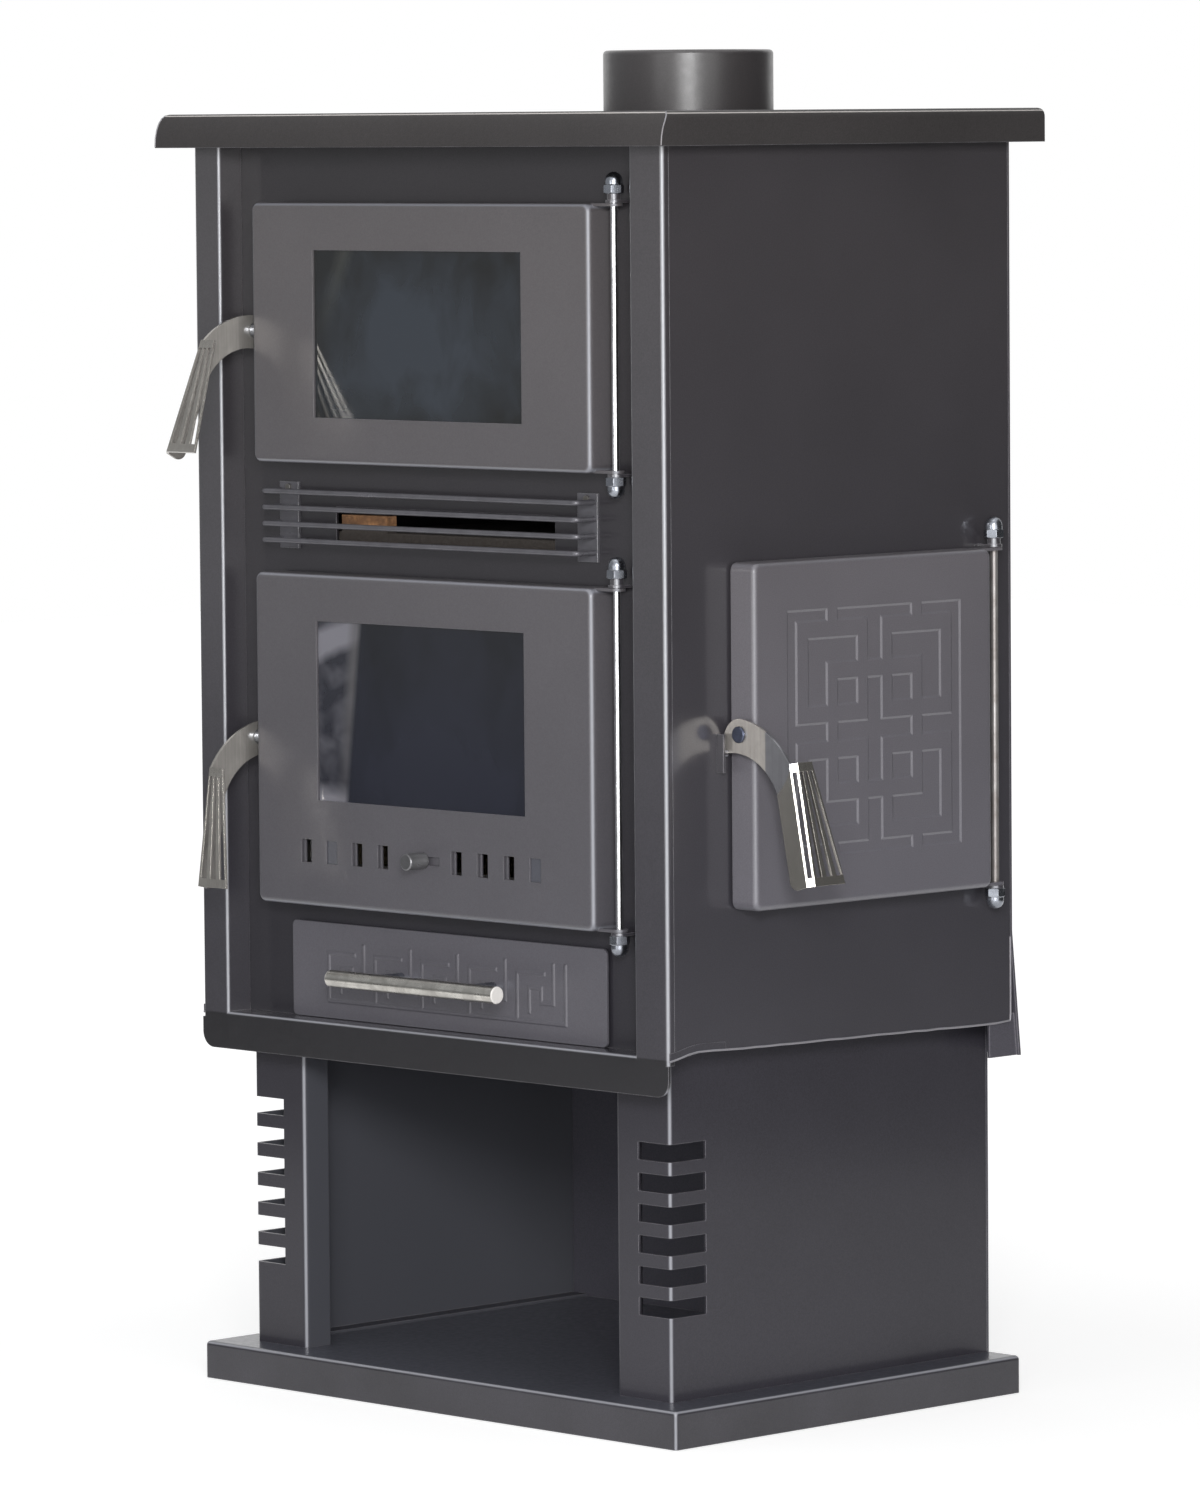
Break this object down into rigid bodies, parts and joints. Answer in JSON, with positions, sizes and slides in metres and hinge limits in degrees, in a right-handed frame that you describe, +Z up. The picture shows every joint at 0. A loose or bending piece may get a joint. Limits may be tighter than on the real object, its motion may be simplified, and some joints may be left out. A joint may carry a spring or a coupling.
{
  "type": "wood-burning cooker",
  "caption": "Slim free-standing wood-burning range cooker: oven and fire doors in front, fuel door in the side, ash drawer, hob with flue collar, wood store below.",
  "frame": {"origin": "middle of the casing's plan, on the floor that the plinth stands on", "axes": "+X to the right seen from the front, +Y to the rear, +Z up"},
  "size_m": [0.5684, 0.4362, 0.939],
  "materials": {
    "body_paint": "satin charcoal heat-resistant paint",
    "door_paint": "satin graphite heat-resistant paint",
    "bright_steel": "bright plated steel",
    "stainless": "satin stainless steel",
    "plain_steel": "plain rolled steel",
    "cast_iron": "fine cast surface, blackened",
    "ceramic_glass": "clear heat-resistant glass, dark behind",
    "rope_seal": "knitted glass-fibre rope",
    "firebrick": "dry firebrick",
    "board": "pressed mineral board"
  },
  "bodies": {
    "casing": {"plinth": "body_paint", "plinth_stiffener": "body_paint", "wood_store_left": "body_paint", "wood_store_right": "body_paint", "wood_store_back": "body_paint", "body_floor": "body_paint", "left_side_panel": "body_paint", "right_side_panel": "body_paint", "rear_panel": "body_paint", "front_frame": "body_paint", "front_panel": "body_paint", "hob_top": "body_paint", "flue_collar": "body_paint", "oven_box": "plain_steel", "oven_rack": "bright_steel", "ash_channel": "plain_steel", "firebox_shell": "plain_steel", "fuel_chute": "plain_steel", "firebrick_left": "firebrick", "firebrick_back": "firebrick", "firebrick_right": "firebrick", "grate": "cast_iron", "insulation_board": "board", "grille_wires": "body_paint", "grille_strips": "body_paint", "grille_rivets": "plain_steel", "oven_hinge_rod": "bright_steel", "fire_hinge_rod": "bright_steel", "fuel_hinge_rod": "bright_steel", "hinge_lugs": "body_paint", "acorn_nuts": "bright_steel", "latch_keepers": "body_paint", "drawer_runners": "plain_steel"},
    "cooking_plate": {"cooking_plate": "cast_iron"},
    "oven_door": {"oven_door_pan": "door_paint", "oven_door_liner": "plain_steel", "oven_door_glass": "ceramic_glass", "oven_glass_frame": "plain_steel", "oven_door_seal": "rope_seal", "oven_handle_bolt": "bright_steel"},
    "oven_lever": {"oven_handle": "stainless"},
    "fire_door": {"fire_door_pan": "door_paint", "fire_door_liner": "plain_steel", "fire_door_glass": "ceramic_glass", "fire_glass_frame": "plain_steel", "fire_door_seal": "rope_seal", "fire_handle_bolt": "bright_steel", "air_slide_guides": "plain_steel"},
    "fire_lever": {"fire_handle": "stainless"},
    "air_slide": {"air_slide": "door_paint", "air_knob": "door_paint"},
    "fuel_door": {"fuel_door_pan": "door_paint", "fuel_door_liner": "plain_steel", "fuel_door_seal": "rope_seal", "fuel_handle_bolt": "bright_steel"},
    "fuel_lever": {"fuel_handle": "stainless"},
    "ash_drawer": {"drawer_front": "door_paint", "drawer_box": "plain_steel", "drawer_bar": "stainless", "drawer_posts": "bright_steel"}
  },
  "joints": [
    {"name": "cooking_plate_lift", "type": "slide", "parent": "casing", "child": "cooking_plate", "axis": [0, 0, 1], "range_m": [0, 0.06]},
    {"name": "oven_door_hinge", "type": "hinge", "parent": "casing", "child": "oven_door", "pos_m": [0.1775, -0.159, 0.744], "axis": [0, 0, 1], "range_deg": [0, 110]},
    {"name": "oven_lever_pivot", "type": "hinge", "parent": "oven_door", "child": "oven_lever", "pos_m": [-0.1775, -0.1644, 0.7455], "axis": [-1, 0, 0], "range_deg": [0, 30]},
    {"name": "fire_door_hinge", "type": "hinge", "parent": "casing", "child": "fire_door", "pos_m": [0.1775, -0.159, 0.461], "axis": [0, 0, 1], "range_deg": [0, 110]},
    {"name": "fire_lever_pivot", "type": "hinge", "parent": "fire_door", "child": "fire_lever", "pos_m": [-0.1775, -0.1644, 0.4605], "axis": [-1, 0, 0], "range_deg": [0, 40]},
    {"name": "air_slide_travel", "type": "slide", "parent": "fire_door", "child": "air_slide", "axis": [1, 0, 0], "range_m": [0, 0.013]},
    {"name": "fuel_door_hinge", "type": "hinge", "parent": "casing", "child": "fuel_door", "pos_m": [0.2447, 0.1405, 0.477], "axis": [0, 0, 1], "range_deg": [0, 135]},
    {"name": "fuel_lever_pivot", "type": "hinge", "parent": "fuel_door", "child": "fuel_lever", "pos_m": [0.2501, -0.1154, 0.4794], "axis": [0, -1, 0], "range_deg": [0, 40]},
    {"name": "ash_drawer_slide", "type": "slide", "parent": "casing", "child": "ash_drawer", "axis": [0, -1, 0], "range_m": [0, 0.2]}
  ]
}
